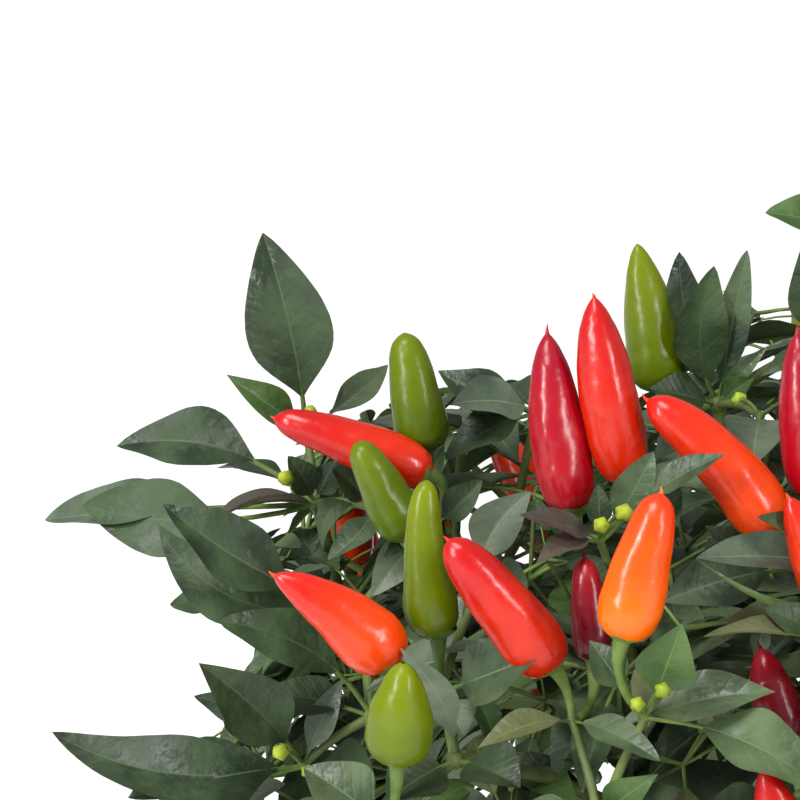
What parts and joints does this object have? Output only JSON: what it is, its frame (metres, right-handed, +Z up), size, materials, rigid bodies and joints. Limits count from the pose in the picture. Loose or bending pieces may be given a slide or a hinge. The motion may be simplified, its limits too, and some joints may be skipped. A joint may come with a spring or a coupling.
{
  "type": "chilli pepper plant",
  "caption": "Compact bushy chilli plant rooted in the ground: short forked woody stem, pointed dark leaves and upright tapering fruit ripening from green to red.",
  "frame": {"origin": "centre of the flat cut under the stem, at ground level", "axes": "+Z up along the stem, -Y towards the viewer of the picture, +X to the viewer's right"},
  "size_m": [0.3554, 0.3517, 0.2969],
  "materials": {
    "bark": "green turning to pale brown bark at the foot, matt",
    "foliage": "satin dark green leaves, with glossy fruit from lime green through orange to deep red"
  },
  "bodies": {
    "root": {"main_stem": "bark", "leader": "bark", "bough_right": "bark", "bough_back": "bark", "bough_back_left": "bark", "bough_left": "bark", "bough_front": "bark", "bough_front_right": "bark", "foliage_top": "foliage", "foliage_right": "foliage", "foliage_back": "foliage", "foliage_back_left": "foliage", "foliage_left": "foliage", "foliage_front": "foliage", "foliage_front_right": "foliage"}
  },
  "joints": []
}
